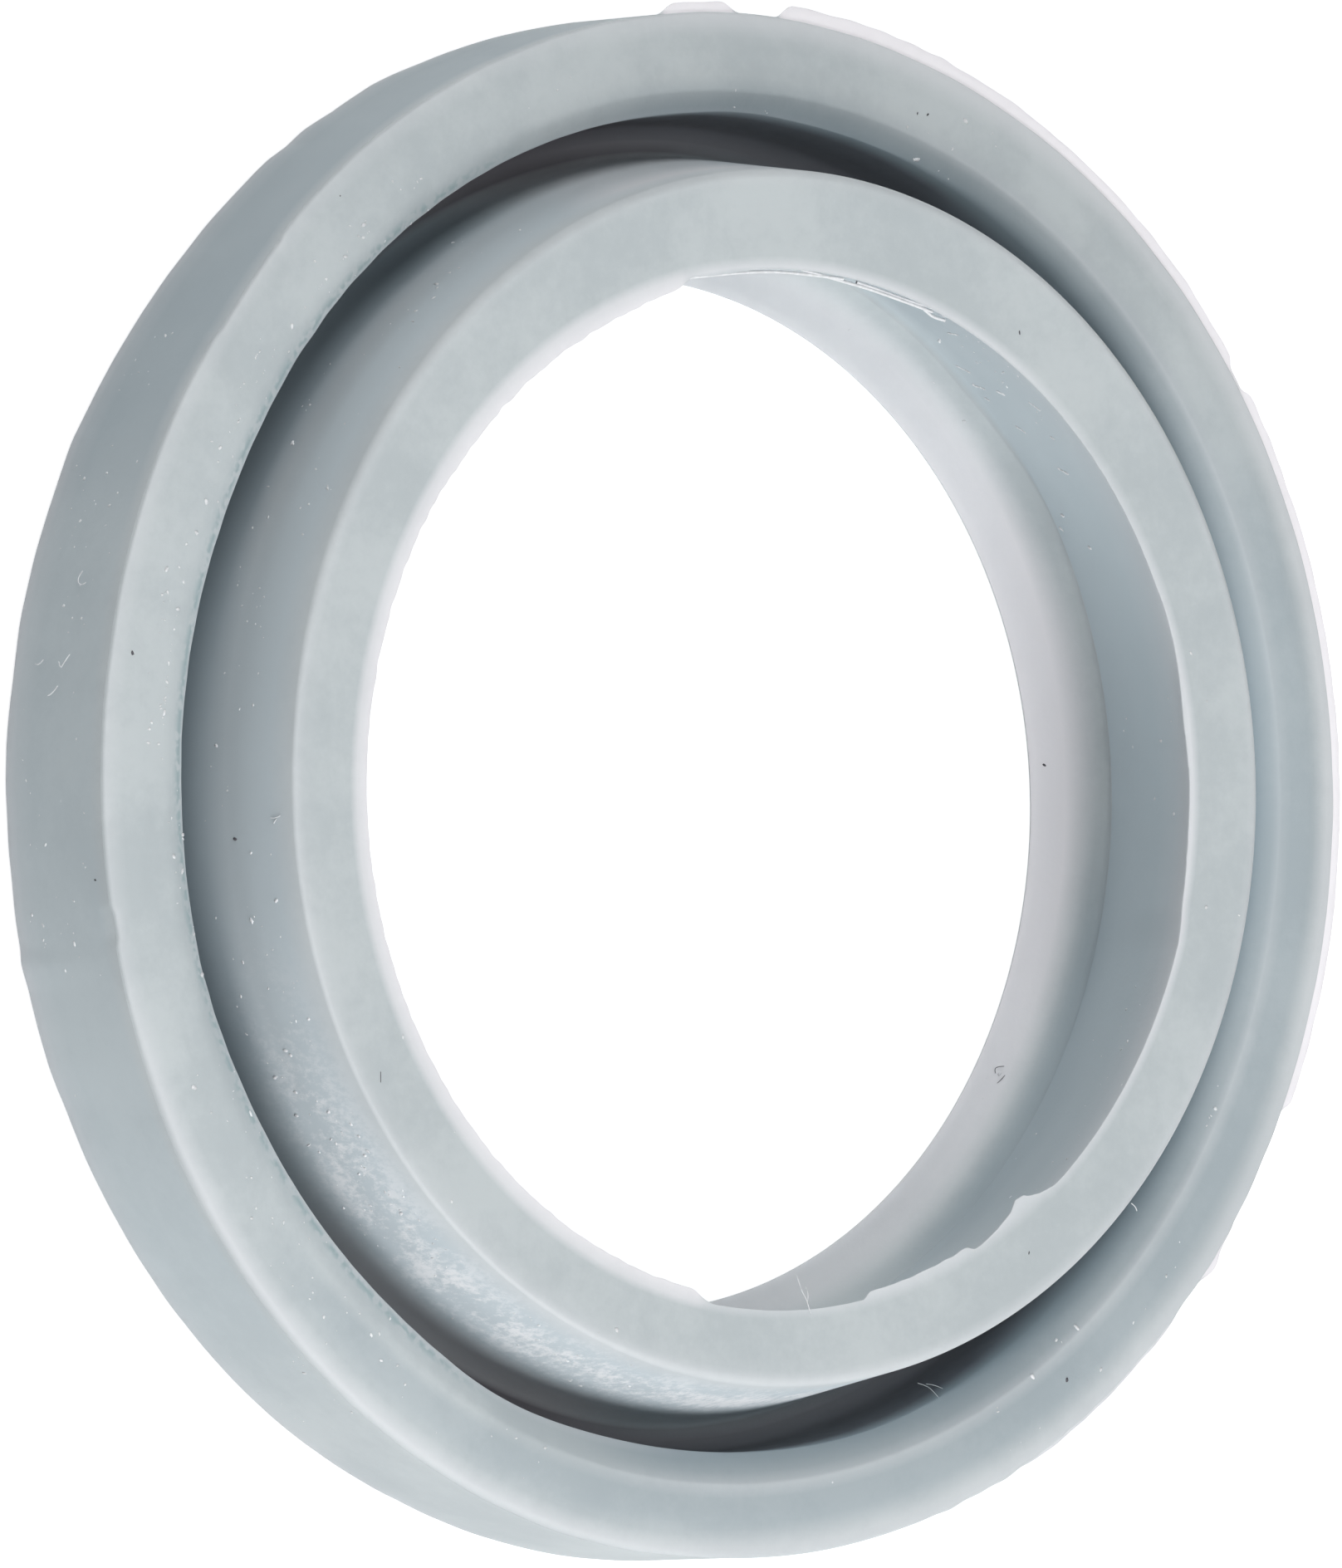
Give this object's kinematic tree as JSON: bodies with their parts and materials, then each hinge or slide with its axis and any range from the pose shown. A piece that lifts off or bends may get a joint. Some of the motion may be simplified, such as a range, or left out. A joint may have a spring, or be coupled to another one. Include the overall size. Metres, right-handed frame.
{
  "type": "flush valve seal",
  "caption": "Moulded silicone ring with a flat back, a bevelled outer lip, a deep annular groove and a taller inner lip round the bore.",
  "frame": {"origin": "centre of the flat back face, on the ring's axis", "axes": "+Z along the ring's axis, from the flat back towards the taller inner lip; X and Y across the ring"},
  "size_m": [0.064, 0.064, 0.0108],
  "materials": {
    "silicone": "matte"
  },
  "bodies": {
    "root": {"seal_ring": "silicone"}
  },
  "joints": []
}
